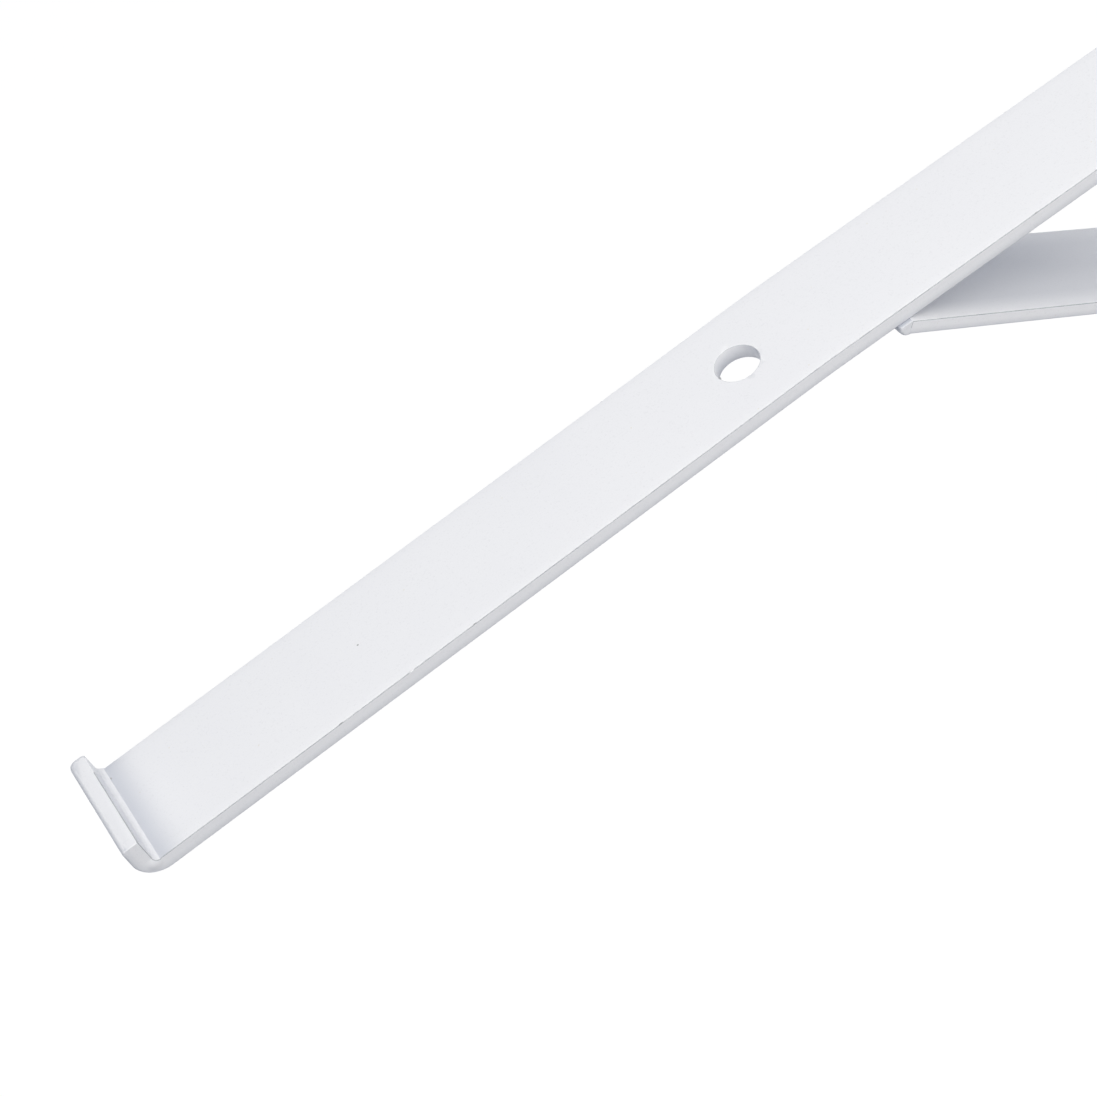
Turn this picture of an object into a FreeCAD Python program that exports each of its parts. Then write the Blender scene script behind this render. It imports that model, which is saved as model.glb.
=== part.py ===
import FreeCAD, Part
import math
import os

# A wall bracket for one shelf, in millimetres.
# X points out from the wall, Y runs across the bar and Z is up.
# The origin is on the wall face, midway between the two wall screws.

# Bent bar: lip, arm and wall leg in one length of flat bar
bar_width = 30.0
bar_thickness = 4.0
rolled_edge = 0.6          # radius that the shear leaves on the edges of the underside
shelf_depth = 350.0        # wall to the inner face of the lip, along the arm
lip_height = 7.5           # above the top face of the arm
lip_bend = 1.2             # inner radius of the fold under the lip
lip_stretch = 1.3          # that the outside of the fold is rounder than the bar's thickness makes it
lip_far_corner = 1.5       # radius of the lip's top corner on the far side
leg_length = 220.0         # from the top of the arm to the foot of the leg
wall_bend = 4.0            # inner radius of the fold at the wall

# Dip: the weld of the brace has pulled down the arm in front of it
dip_past_brace = 21.5
dip_angle = 1.75           # degrees
dip_bend = 300.0           # radius

# Punched holes
hole_diameter = 10.0
hole_break = 0.3           # rounding where the punch breaks through the underside
shelf_hole_past_dip = 12.0
upper_screw_drop = 40.0    # from the top of the arm
lower_screw_rise = 30.0    # from the foot of the leg

# Metal that each fold squeezes out past the sides of the bar
lip_swell = 0.5
wall_swell = 0.3
swell_radius = 1.7         # of the swollen spot, as seen from the side

# Brace: a straight bar, cut square at both ends, a little wider than the arm
brace_overhang = 1.0       # past each side of the arm
brace_thickness = 3.2
brace_edge = 0.5           # radius along its lower edges
brace_reach = 160.5        # wall to the point where its upper face meets the arm
brace_angle = 34.5         # degrees below the arm

# Weld beads, one across each end of the brace
weld_cover = 0.45          # over the lower face of the brace
weld_ahead = 0.5           # of the brace's end to the middle of the round bead
weld_inset = 0.05          # from the sides of the brace
weld_end = 0.7             # radius at the two ends of a bead

tolerance = 1e-4           # for finding edges by their place
half_width = bar_width / 2
brace_width = bar_width + 2 * brace_overhang
lower_screw_drop = leg_length - lower_screw_rise
arm_top = (upper_screw_drop + lower_screw_drop) / 2
arm_underside = arm_top - bar_thickness


def side_point(x, z):
    """A point of the side view, in the middle plane of the bracket."""
    return FreeCAD.Vector(x, 0, z)


def heading(degrees):
    """A direction in the side view, measured up from the outward X axis."""
    angle = math.radians(degrees)
    return side_point(math.cos(angle), math.sin(angle))


def slab(face, width):
    """A side-view face made into a solid of this width, centred on the middle plane."""
    solid = face.extrude(FreeCAD.Vector(0, width, 0))
    solid.translate(FreeCAD.Vector(0, -width / 2, 0))
    return solid


def rounded_path(corners, radii):
    """A wire through the corners in which each inner corner is an arc of its radius."""
    edges = []
    start = corners[0]
    for before, corner, after, radius in zip(corners, corners[1:], corners[2:], radii):
        back = (before - corner).normalize()
        ahead = (after - corner).normalize()
        half_angle = back.getAngle(ahead) / 2
        tangent = radius / math.tan(half_angle)
        centre_way = (back + ahead).normalize()
        centre = corner + centre_way * (radius / math.sin(half_angle))
        arc_start = corner + back * tangent
        arc_end = corner + ahead * tangent
        edges.append(Part.makeLine(start, arc_start))
        edges.append(Part.Arc(arc_start, centre - centre_way * radius, arc_end).toShape())
        start = arc_end
    edges.append(Part.makeLine(start, corners[-1]))
    return Part.Wire(edges)


# The bar's side view, from the foot of the leg to the top of the lip

arm_out = heading(-dip_angle)
lip_up = heading(90 - dip_angle)

foot = side_point(0, arm_top - leg_length)
wall_corner = side_point(0, arm_top)
dip_corner = side_point(brace_reach + dip_past_brace, arm_top)
lip_corner = dip_corner + arm_out * (shelf_depth - dip_corner.x)
lip_end = lip_corner + lip_up * lip_height

half_dip = math.radians(dip_angle / 2)
dip_under = dip_corner - heading(90 - dip_angle / 2) * (bar_thickness / math.cos(half_dip))
lip_under = lip_corner + (arm_out - lip_up) * bar_thickness

top_line = rounded_path(
    [foot, wall_corner, dip_corner, lip_corner, lip_end],
    [wall_bend + bar_thickness, dip_bend, lip_bend],
)
under_line = rounded_path(
    [
        foot + side_point(bar_thickness, 0),
        wall_corner + side_point(bar_thickness, -bar_thickness),
        dip_under,
        lip_under,
        lip_end + arm_out * bar_thickness,
    ],
    [wall_bend, dip_bend - bar_thickness, lip_bend + bar_thickness + lip_stretch],
)


def end_point(wire, last):
    """The first or last point of a side-view wire."""
    return wire.OrderedVertexes[-1 if last else 0].Point


bar_side = Part.Face(Part.Wire(
    top_line.OrderedEdges
    + [Part.makeLine(end_point(top_line, True), end_point(under_line, True))]
    + list(reversed(under_line.OrderedEdges))
    + [Part.makeLine(end_point(under_line, False), end_point(top_line, False))]
))


def rim_edges(solid, line, width):
    """The edges round the surface that lies over a side-view line, without those that cross it."""
    ends = [end_point(line, False), end_point(line, True)]
    rim = []
    for edge in solid.Edges:
        middle = edge.valueAt((edge.FirstParameter + edge.LastParameter) / 2)
        flat = side_point(middle.x, middle.z)
        on_line = line.distToShape(Part.Vertex(flat))[0] < tolerance
        on_side = abs(abs(middle.y) - width / 2) < tolerance
        on_end = min(flat.distanceToPoint(end) for end in ends) < tolerance
        if on_line and (on_side or on_end):
            rim.append(edge)
    return rim


def far_corner_edges(solid):
    """The edge through the lip's thickness at its top corner on the far side."""
    end = end_point(top_line, True) - FreeCAD.Vector(0, half_width, 0)
    return [
        edge for edge in solid.Edges
        if edge.distToShape(Part.Vertex(end))[0] < tolerance
        and abs(edge.tangentAt(edge.FirstParameter).dot(arm_out)) > 1 - tolerance
    ]


def fold_swell(corner, inward, radius, bulge):
    """Low caps on both sides of a fold, where its inner metal has been squeezed out."""
    ball_radius = (swell_radius ** 2 + bulge ** 2) / (2 * bulge)
    inner_face = corner - inward * (radius * (math.sqrt(2) - 1))
    middle = inner_face + inward * (swell_radius / 2)
    caps = []
    for side in (-1, 1):
        depth = side * (half_width + bulge - ball_radius)
        caps.append(Part.makeSphere(ball_radius, middle + FreeCAD.Vector(0, depth, 0)))
    return caps[0].fuse(caps[1]).common(slab(bar_side, bar_width + 2 * bulge))


def punched(solid, top, way):
    """The solid with a round hole through the bar at a point of its top face."""
    radius = hole_diameter / 2
    hole = Part.makeCylinder(radius, 3 * bar_thickness, top - way * bar_thickness, way)
    flare = Part.makeCone(
        radius, radius + 2 * hole_break, 2 * hole_break, top + way * (bar_thickness - hole_break), way
    )
    return solid.cut([hole, flare])


def make_bar():
    """Lip, arm and wall leg: one bent bar with its holes and rolled edges."""
    bar = slab(bar_side, bar_width)
    bar = bar.makeFillet(lip_far_corner, far_corner_edges(bar))
    bar = bar.makeFillet(rolled_edge, rim_edges(bar, under_line, bar_width))
    wall_inner = wall_corner + side_point(bar_thickness, -bar_thickness)
    bar = bar.fuse([
        fold_swell(lip_corner, (arm_out - lip_up).normalize(), lip_bend, lip_swell),
        fold_swell(wall_inner, heading(135), wall_bend, wall_swell),
    ])
    bar = punched(bar, dip_corner + arm_out * shelf_hole_past_dip, -lip_up)
    for drop in (upper_screw_drop, lower_screw_drop):
        bar = punched(bar, side_point(0, arm_top - drop), side_point(1, 0))
    return bar.removeSplitter()


# The brace, with its upper face between a point of the arm and a point of the leg

brace_out = heading(brace_angle)
brace_up = heading(90 + brace_angle)
brace_run = (brace_reach - bar_thickness) / math.cos(math.radians(brace_angle))
brace_head = side_point(brace_reach, arm_underside)
brace_foot = brace_head - brace_out * brace_run


def make_brace():
    """A straight bar cut square, with rolled lower edges."""
    lower_line = Part.Wire(Part.makeLine(
        brace_foot - brace_up * brace_thickness, brace_head - brace_up * brace_thickness
    ))
    side = Part.Face(Part.makePolygon([
        brace_foot,
        end_point(lower_line, False),
        end_point(lower_line, True),
        brace_head,
        brace_foot,
    ]))
    brace = slab(side, brace_width)
    long_edges = [
        edge for edge in rim_edges(brace, lower_line, brace_width) if edge.Length > brace_width
    ]
    return brace.makeFillet(brace_edge, long_edges)


def make_weld(corner, along_plate, along_brace):
    """A round bead that fills the corner of a plate and the brace's end, and laps under the brace."""
    radius = brace_thickness / 2 + weld_cover
    lower_corner = corner - brace_up * brace_thickness
    middle = (corner + lower_corner) / 2 - along_brace * weld_ahead
    over_plate = corner + along_plate * (middle - corner).dot(along_plate)
    plate_hold = math.sqrt(radius ** 2 - middle.distanceToPoint(over_plate) ** 2)
    plate_toe = over_plate + along_plate * plate_hold
    brace_hold = math.sqrt(radius ** 2 - (brace_thickness / 2) ** 2)
    brace_toe = lower_corner + along_brace * (brace_hold - weld_ahead)
    crown = middle + (middle - corner).normalize() * radius
    section = Part.Face(Part.Wire([
        Part.makeLine(corner, plate_toe),
        Part.Arc(plate_toe, crown, brace_toe).toShape(),
        Part.makeLine(brace_toe, lower_corner),
        Part.makeLine(lower_corner, corner),
    ]))
    bead = slab(section, brace_width - 2 * weld_inset)
    outer = [edge for edge in bead.Edges if edge.Curve.TypeId == "Part::GeomCircle"]
    return bead.makeFillet(weld_end, outer)


parts = {
    "bracket_bar": make_bar(),
    "brace_bar": make_brace(),
    "arm_weld": make_weld(brace_head, side_point(1, 0), -brace_out),
    "wall_weld": make_weld(brace_foot, side_point(0, -1), brace_out),
}

os.makedirs("parts", exist_ok=True)
for name, shape in parts.items():
    shape.exportStep("parts/" + name + ".step")
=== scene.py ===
"""A white powder-coated shelf bracket: its finishes, its fine surface and its studio.

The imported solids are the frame. Each bar and each weld bead is built again here along the same
lines, with the edges, burrs, ripples and coating that the solids are too plain to hold.
Lengths are in millimetres unless a name says otherwise, and meshes are made in metres.
"""

import logging
import math
from dataclasses import dataclass, field
from enum import Enum

import bmesh
import bpy
import numpy as np
from mathutils import Matrix, Vector, noise


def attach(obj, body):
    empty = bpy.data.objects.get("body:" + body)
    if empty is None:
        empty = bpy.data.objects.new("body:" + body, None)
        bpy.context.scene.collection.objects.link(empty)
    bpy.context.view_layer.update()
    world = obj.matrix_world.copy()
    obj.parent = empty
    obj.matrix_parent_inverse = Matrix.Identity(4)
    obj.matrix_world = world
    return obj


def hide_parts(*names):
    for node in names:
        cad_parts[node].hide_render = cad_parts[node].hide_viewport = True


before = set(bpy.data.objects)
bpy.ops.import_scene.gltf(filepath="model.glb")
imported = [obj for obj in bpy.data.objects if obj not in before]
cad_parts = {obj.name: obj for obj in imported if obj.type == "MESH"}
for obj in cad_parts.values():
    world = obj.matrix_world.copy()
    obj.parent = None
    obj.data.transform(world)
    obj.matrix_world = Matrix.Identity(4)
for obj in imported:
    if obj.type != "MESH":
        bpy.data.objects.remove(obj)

MM = 0.001
BODY = "root"
# Point attribute with the share of painted shade, a grey-blue darkening where light falls poorly
PAINTED_SHADE = "painted_shade"
CUT_LINE_END = 6.0  # from the far side, where the line along a cut end fades out
CUT_LINE_ROWS = 2  # rows of faces that take that line
CUT_END_ROWS = 8  # rows of faces close to a cut end
ROLLED_PAINTED_SHADE = 0.5  # share of painted shade at the rolled lower edges, darker down the sides
EDGE_SHADE_FROM = 0.5  # how far a sheared corner has turned down, as a cosine, where the painted edge shade starts
TOUCH = 0.01  # places closer than this count as one
LOG = logging.getLogger("shelf_bracket")


class Zone(Enum):
    """Which finish a face of a coated bar takes. The value is its material slot."""

    COAT = 0
    SHEARED_EDGE = 1


class Flat(Enum):
    """The part of a bar's section that a point belongs to."""

    TOP = 0
    SIDE = 1
    UNDERSIDE = 2


def linear(hex_colour: str) -> tuple[float, float, float, float]:
    """Turns an sRGB colour into the linear one that a shader takes.

    Args:
        hex_colour: six hex digits, with or without a leading hash.

    Returns:
        Red, green and blue from 0 to 1, and an alpha of 1.
    """
    digits = hex_colour.lstrip("#")
    shares = [int(digits[i:i + 2], 16) / 255 for i in (0, 2, 4)]
    red, green, blue = (s / 12.92 if s <= 0.04045 else ((s + 0.055) / 1.055) ** 2.4 for s in shares)
    return red, green, blue, 1.0


def per_metre(size: float) -> float:
    """The texture scale at which one cell of a pattern measures this many millimetres."""
    return 1 / (size * MM)


def add_node(tree: bpy.types.NodeTree, kind: str, settings: dict | None = None,
             inputs: dict | None = None) -> bpy.types.Node:
    """Adds a node with its settings, and its inputs as values or as links.

    Args:
        tree: the node tree that gets the node.
        kind: the node's type name.
        settings: properties of the node itself.
        inputs: values by socket name or number. A socket of another node is linked.

    Returns:
        The new node.
    """
    node = tree.nodes.new(kind)
    for name, value in (settings or {}).items():
        setattr(node, name, value)
    for key, value in (inputs or {}).items():
        if isinstance(value, bpy.types.NodeSocket):
            tree.links.new(value, node.inputs[key])
        else:
            node.inputs[key].default_value = value
    return node


def new_material(name: str) -> tuple[bpy.types.Material, bpy.types.NodeTree]:
    """An empty node material of this name, and its tree.

    Args:
        name: of the material.

    Returns:
        The material and its node tree.
    """
    material = bpy.data.materials.new(name)
    material.use_nodes = True
    material.node_tree.nodes.clear()
    return material, material.node_tree


@dataclass(frozen=True)
class PolyesterPowderCoat:
    """Satin polyester powder, sprayed on steel and baked.

    The melted powder levels into a skin with a shallow orange peel and a faint grit, and it
    gives a soft white with a broad sheen. A grey-blue painted shade darkens it where a point
    attribute asks for it: by the lip's fold, in the holes, on the lower sides, round the lip's
    tip, on the brace under the arm and on the weld beads. A few cream flecks were baked in.
    """

    name: str = "polyester_powder_coat_sprayed_satin"
    colour: str = "#EDEFF3"
    cloud_colour: str = "#E9EBF0"
    grain_colour: str = "#DFE1E6"
    # Painted shade: the grey-blue that stands in for shade in folds, holes, corners and on the lower sides
    painted_shade_colour: str = "#B9BEC9"
    ior: float = 1.5
    roughness: float = 0.42
    cloud_size: float = 30.0
    peel_size: float = 1.6
    peel_height: float = 0.006
    sheen_spread: float = 0.05
    grit_size: float = 0.45
    grit_height: float = 0.0035
    grain_span: tuple[float, float] = (0.42, 0.30)  # of the grit's noise, from no grain to full grain
    grain_share: float = 0.5
    fleck_colour: str = "#DAD6C8"
    fleck_cell: float = 4.5
    fleck_radius: float = 0.2
    fleck_core: float = 0.3  # share of a fleck's radius that has its full colour
    fleck_share: float = 0.7

    def build(self) -> bpy.types.Material:
        """Makes the node material.

        Returns:
            The material of every coated face.
        """
        material, tree = new_material(self.name)
        place = add_node(tree, "ShaderNodeTexCoord").outputs["Object"]
        cloud = add_node(tree, "ShaderNodeTexNoise", inputs={
            "Vector": place, "Scale": per_metre(self.cloud_size), "Detail": 3.0})
        peel = add_node(tree, "ShaderNodeTexNoise", inputs={
            "Vector": place, "Scale": per_metre(self.peel_size), "Detail": 1.0})
        grit = add_node(tree, "ShaderNodeTexNoise", inputs={
            "Vector": place, "Scale": per_metre(self.grit_size), "Detail": 2.0, "Roughness": 0.6})
        clouded = add_node(tree, "ShaderNodeMix", {"data_type": "RGBA"}, {
            "Factor": cloud.outputs["Fac"], "A": linear(self.colour), "B": linear(self.cloud_colour)})
        low_grit = add_node(tree, "ShaderNodeMapRange", inputs={
            "Value": grit.outputs["Fac"], "From Min": self.grain_span[0],
            "From Max": self.grain_span[1], "To Min": 0.0, "To Max": self.grain_share})
        grainy = add_node(tree, "ShaderNodeMix", {"data_type": "RGBA"}, {
            "Factor": low_grit.outputs["Result"], "A": clouded.outputs["Result"],
            "B": linear(self.grain_colour)})
        flecks = add_node(tree, "ShaderNodeTexVoronoi", inputs={
            "Vector": place, "Scale": per_metre(self.fleck_cell)})
        rim = self.fleck_radius / self.fleck_cell
        fleck = add_node(tree, "ShaderNodeMapRange", inputs={
            "Value": flecks.outputs["Distance"], "From Min": rim,
            "From Max": self.fleck_core * rim, "To Min": 0.0, "To Max": self.fleck_share})
        flecked = add_node(tree, "ShaderNodeMix", {"data_type": "RGBA"}, {
            "Factor": fleck.outputs["Result"], "A": grainy.outputs["Result"],
            "B": linear(self.fleck_colour)})
        # Painted shade: mixes in the grey-blue by the painted-shade share of each point
        thin = add_node(tree, "ShaderNodeAttribute", {"attribute_name": PAINTED_SHADE})
        colour = add_node(tree, "ShaderNodeMix", {"data_type": "RGBA"}, {
            "Factor": thin.outputs["Fac"], "A": flecked.outputs["Result"],
            "B": linear(self.painted_shade_colour)})
        peel_bump = add_node(tree, "ShaderNodeBump", inputs={
            "Height": peel.outputs["Fac"], "Strength": 1.0, "Distance": self.peel_height * MM})
        grit_bump = add_node(tree, "ShaderNodeBump", inputs={
            "Height": grit.outputs["Fac"], "Strength": 1.0, "Distance": self.grit_height * MM,
            "Normal": peel_bump.outputs["Normal"]})
        sheen = add_node(tree, "ShaderNodeMapRange", inputs={
            "Value": peel.outputs["Fac"], "To Min": self.roughness - self.sheen_spread,
            "To Max": self.roughness + self.sheen_spread})
        shader = add_node(tree, "ShaderNodeBsdfPrincipled", inputs={
            "Base Color": colour.outputs["Result"], "Roughness": sheen.outputs["Result"],
            "IOR": self.ior, "Normal": grit_bump.outputs["Normal"]})
        add_node(tree, "ShaderNodeOutputMaterial", inputs={"Surface": shader.outputs["BSDF"]})
        return material


@dataclass(frozen=True)
class PaintedEdgeShade:
    """The same powder along a sharp sheared edge, with painted edge shade on it.

    The shade is painted as a fine broken grey line.
    """

    name: str = "powder_coat_with_painted_edge_shade"
    colour: str = "#DCDFE3"
    edge_shade_colour: str = "#9CA1A8"
    ior: float = 1.5
    roughness: float = 0.5
    break_size: float = 2.2
    break_span: tuple[float, float] = (0.36, 0.62)
    least_break: float = 0.7
    fine_break_size: float = 0.6
    fine_break_span: tuple[float, float] = (0.35, 0.6)
    least_fine_break: float = 0.8
    fine_break_height: float = 0.01

    def build(self) -> bpy.types.Material:
        """Makes the node material.

        Returns:
            The material of the narrow strips along sharp edges.
        """
        material, tree = new_material(self.name)
        place = add_node(tree, "ShaderNodeTexCoord").outputs["Object"]
        breaks = add_node(tree, "ShaderNodeTexNoise", inputs={
            "Vector": place, "Scale": per_metre(self.break_size), "Detail": 2.0})
        fine_breaks = add_node(tree, "ShaderNodeTexNoise", inputs={
            "Vector": place, "Scale": per_metre(self.fine_break_size), "Detail": 1.0})
        broken = add_node(tree, "ShaderNodeMapRange", inputs={
            "Value": breaks.outputs["Fac"], "From Min": self.break_span[0],
            "From Max": self.break_span[1], "To Min": self.least_break, "To Max": 1.0})
        finely_broken = add_node(tree, "ShaderNodeMapRange", inputs={
            "Value": fine_breaks.outputs["Fac"], "From Min": self.fine_break_span[0],
            "From Max": self.fine_break_span[1], "To Min": self.least_fine_break, "To Max": 1.0})
        share = add_node(tree, "ShaderNodeMath", {"operation": "MULTIPLY"}, {
            0: broken.outputs["Result"], 1: finely_broken.outputs["Result"]})
        colour = add_node(tree, "ShaderNodeMix", {"data_type": "RGBA"}, {
            "Factor": share.outputs["Value"], "A": linear(self.colour), "B": linear(self.edge_shade_colour)})
        bump = add_node(tree, "ShaderNodeBump", inputs={
            "Height": fine_breaks.outputs["Fac"], "Strength": 1.0, "Distance": self.fine_break_height * MM})
        shader = add_node(tree, "ShaderNodeBsdfPrincipled", inputs={
            "Base Color": colour.outputs["Result"], "Roughness": self.roughness,
            "IOR": self.ior, "Normal": bump.outputs["Normal"]})
        add_node(tree, "ShaderNodeOutputMaterial", inputs={"Surface": shader.outputs["BSDF"]})
        return material


@dataclass(frozen=True)
class DustUnderPowderCoat:
    """Grains of dark dust that were on the steel and were baked in under the powder.

    Each is a small soft grey speck in the white.
    """

    name: str = "dust_baked_under_powder_coat"
    colour: str = "#8E9092"
    rim_colour: str = "#BCBEC1"
    cell: float = 0.3
    ior: float = 1.5
    roughness: float = 0.55

    def build(self) -> bpy.types.Material:
        """Makes the node material.

        Returns:
            The material of the specks and nicks.
        """
        material, tree = new_material(self.name)
        place = add_node(tree, "ShaderNodeTexCoord").outputs["Object"]
        blot = add_node(tree, "ShaderNodeTexNoise", inputs={
            "Vector": place, "Scale": per_metre(self.cell), "Detail": 1.0})
        colour = add_node(tree, "ShaderNodeMix", {"data_type": "RGBA"}, {
            "Factor": blot.outputs["Fac"], "A": linear(self.colour), "B": linear(self.rim_colour)})
        shader = add_node(tree, "ShaderNodeBsdfPrincipled", inputs={
            "Base Color": colour.outputs["Result"], "Roughness": self.roughness, "IOR": self.ior})
        add_node(tree, "ShaderNodeOutputMaterial", inputs={"Surface": shader.outputs["BSDF"]})
        return material


@dataclass(frozen=True)
class MattPaintedFloor:
    """A plain pale studio floor, painted matt, which keeps the bracket's shadow.

    What the camera sees of it is lifted to white, and the light that it returns is its own.
    """

    name: str = "matt_white_studio_paint"
    colour: str = "#BFC0C3"
    white_share: float = 0.82  # of what the camera sees; the rest is the paint with the shadow
    white_level: float = 1.16

    def build(self) -> bpy.types.Material:
        """Makes the node material.

        Returns:
            The floor's material.
        """
        material, tree = new_material(self.name)
        matt = add_node(tree, "ShaderNodeBsdfDiffuse", inputs={"Color": linear(self.colour)})
        white = add_node(tree, "ShaderNodeEmission", inputs={"Strength": self.white_level})
        share = add_node(tree, "ShaderNodeMath", {"operation": "MULTIPLY"}, {
            0: seen_directly(tree), 1: self.white_share})
        mixed = add_node(tree, "ShaderNodeMixShader", inputs={
            0: share.outputs["Value"], 1: matt.outputs["BSDF"], 2: white.outputs["Emission"]})
        add_node(tree, "ShaderNodeOutputMaterial", inputs={"Surface": mixed.outputs["Shader"]})
        return material


def seen_directly(tree: bpy.types.NodeTree) -> bpy.types.NodeSocket:
    """A socket that is 1 for rays from the camera, from a reflection or through glass, else 0.

    Args:
        tree: the node tree that gets the nodes.

    Returns:
        The socket.
    """
    path = add_node(tree, "ShaderNodeLightPath")
    mirrored = add_node(tree, "ShaderNodeMath", {"operation": "MAXIMUM"}, {
        0: path.outputs["Is Camera Ray"], 1: path.outputs["Is Glossy Ray"]})
    through = add_node(tree, "ShaderNodeMath", {"operation": "MAXIMUM"}, {
        0: mirrored.outputs["Value"], 1: path.outputs["Is Transmission Ray"]})
    return through.outputs["Value"]


@dataclass
class SideLine:
    """The side view of a bent bar's top face: straight runs joined by arcs.

    Args:
        corners: the points (x, z) where the straight runs would meet.
        radii: the radius of the top face at each inner corner.
        step: the longest stretch between two stations on a straight run.
        arc_steps: stations on each arc.
        close_stations: distances of the extra stations from both ends of each straight run.
    """

    corners: list[tuple[float, float]]
    radii: list[float]
    step: float
    arc_steps: int
    close_stations: tuple[float, ...] = (0.03, 0.12, 0.25, 0.42, 0.65, 0.95, 1.3)
    points: np.ndarray = field(init=False)
    outward: np.ndarray = field(init=False)
    runs: np.ndarray = field(init=False)

    def __post_init__(self) -> None:
        """Lays out the stations."""
        points: list[np.ndarray] = []
        normals: list[np.ndarray] = []
        corners = [np.array(c, float) for c in self.corners]
        start = corners[0]
        for before, corner, after, radius in zip(corners, corners[1:], corners[2:], self.radii):
            ahead_in = unit(corner - before)
            ahead_out = unit(after - corner)
            turn = math.atan2(cross(ahead_in, ahead_out), float(ahead_in @ ahead_out))
            tangent = radius * math.tan(abs(turn) / 2)
            self._straight(points, normals, start, corner - ahead_in * tangent)
            side = math.copysign(1.0, turn)
            centre = corner - ahead_in * tangent + left_of(ahead_in) * radius * side
            for k in range(1, self.arc_steps):
                ahead = turned(ahead_in, turn * k / self.arc_steps)
                points.append(centre - left_of(ahead) * radius * side)
                normals.append(left_of(ahead))
            start = corner + ahead_out * tangent
        self._straight(points, normals, start, corners[-1])
        self.points = np.array(points)
        self.outward = np.array(normals)
        gaps = np.linalg.norm(np.diff(self.points, axis=0), axis=1)
        self.runs = np.concatenate([[0.0], np.cumsum(gaps)])

    def _straight(self, points: list[np.ndarray], normals: list[np.ndarray],
                  start: np.ndarray, end: np.ndarray) -> None:
        """Adds the stations of one straight run, both of its ends among them.

        Args:
            points: the list that gets the stations.
            normals: the list that gets their outward directions.
            start: of the run.
            end: of the run.
        """
        length = float(np.linalg.norm(end - start))
        way = unit(end - start)
        inner = length - 2 * self.close_stations[-1]
        count = max(1, math.ceil(inner / self.step))
        body = [self.close_stations[-1] + inner * k / count for k in range(count + 1)]
        near_end = [length - s for s in reversed(self.close_stations[:-1])]
        for s in (0.0, *self.close_stations[:-1], *body, *near_end, length):
            points.append(start + way * s)
            normals.append(left_of(way))


def unit(v: np.ndarray) -> np.ndarray:
    """The direction of a side-view vector."""
    return v / np.linalg.norm(v)


def cross(a: np.ndarray, b: np.ndarray) -> float:
    """How far b turns to the left of a in the side view."""
    return float(a[0] * b[1] - a[1] * b[0])


def left_of(v: np.ndarray) -> np.ndarray:
    """A side-view direction turned a quarter to the left."""
    return np.array([-v[1], v[0]])


def turned(v: np.ndarray, angle: float) -> np.ndarray:
    """A side-view direction turned to the left by an angle in radians."""
    c, s = math.cos(angle), math.sin(angle)
    return np.array([v[0] * c - v[1] * s, v[0] * s + v[1] * c])


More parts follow.
